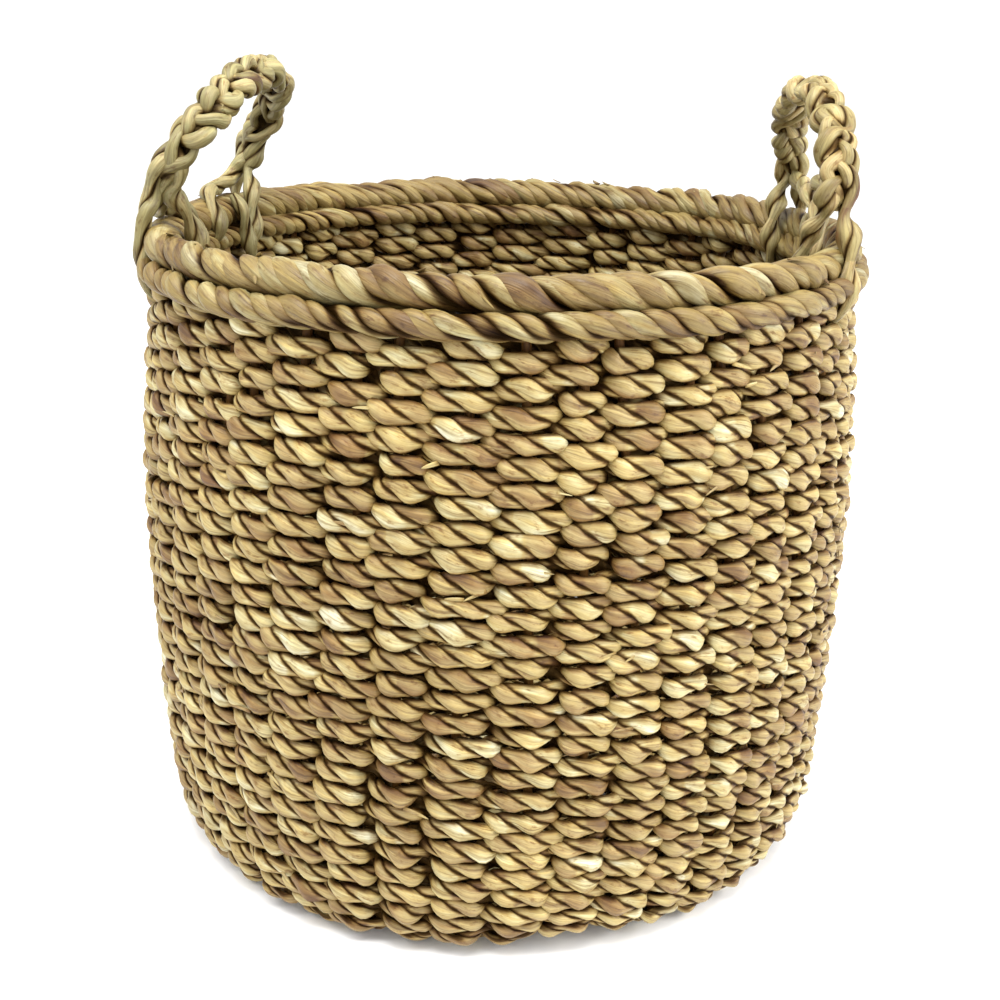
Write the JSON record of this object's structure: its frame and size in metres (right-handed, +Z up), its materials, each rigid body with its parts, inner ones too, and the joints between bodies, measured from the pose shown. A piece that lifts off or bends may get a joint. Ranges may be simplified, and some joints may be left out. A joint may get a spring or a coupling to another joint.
{
  "type": "seagrass storage basket",
  "caption": "Round open basket woven from twisted seagrass cord on upright stakes, with a thick rolled rim and a rope loop handle on each side.",
  "frame": {"origin": "middle of the flat underside of the base, on the surface that the basket stands on", "axes": "+Z up through the open top; +X towards the right handle and -X towards the left handle; -Y is the front"},
  "size_m": [0.412, 0.412, 0.4384],
  "materials": {
    "wall_cord": "matte",
    "base_cord": "matte",
    "stake_cord": "matte",
    "rim_cord": "matte",
    "handle_rope": "matte"
  },
  "bodies": {
    "basket": {"base_centre": "base_cord", "base_row_01": "base_cord", "base_row_02": "base_cord", "base_row_03": "base_cord", "base_row_04": "base_cord", "base_row_05": "base_cord", "base_row_06": "base_cord", "base_row_07": "base_cord", "base_row_08": "base_cord", "base_row_09": "base_cord", "base_row_10": "base_cord", "base_row_11": "base_cord", "base_row_12": "base_cord", "base_row_13": "base_cord", "corner_row_1": "base_cord", "corner_row_2": "base_cord", "corner_row_3": "base_cord", "left_handle_back_foot": "handle_rope", "left_handle_front_foot": "handle_rope", "right_handle_back_foot": "handle_rope", "right_handle_front_foot": "handle_rope", "rim_border": "rim_cord", "rim_row": "rim_cord", "stakes": "stake_cord", "wall_course_01": "wall_cord", "wall_course_02": "wall_cord", "wall_course_03": "wall_cord", "wall_course_04": "wall_cord", "wall_course_05": "wall_cord", "wall_course_06": "wall_cord", "wall_course_07": "wall_cord", "wall_course_08": "wall_cord", "wall_course_09": "wall_cord", "wall_course_10": "wall_cord", "wall_course_11": "wall_cord", "wall_course_12": "wall_cord", "wall_course_13": "wall_cord", "wall_course_14": "wall_cord", "wall_course_15": "wall_cord", "wall_course_16": "wall_cord", "wall_course_17": "wall_cord", "wall_course_18": "wall_cord", "wall_course_19": "wall_cord", "wall_course_20": "wall_cord", "wall_course_21": "wall_cord", "wall_course_22": "wall_cord", "wall_course_23": "wall_cord", "wall_course_24": "wall_cord", "wall_course_25": "wall_cord"},
    "left_handle": {"left_handle_rope": "handle_rope"},
    "right_handle": {"right_handle_rope": "handle_rope"}
  },
  "joints": [
    {"name": "left_handle_lean", "type": "hinge", "parent": "basket", "child": "left_handle", "pos_m": [-0.17435, 0, 0.37826], "axis": [0, -1, 0], "range_deg": [-19, 81]},
    {"name": "right_handle_lean", "type": "hinge", "parent": "basket", "child": "right_handle", "pos_m": [0.17435, 0, 0.37826], "axis": [0, 1, 0], "range_deg": [-43, 57]}
  ]
}
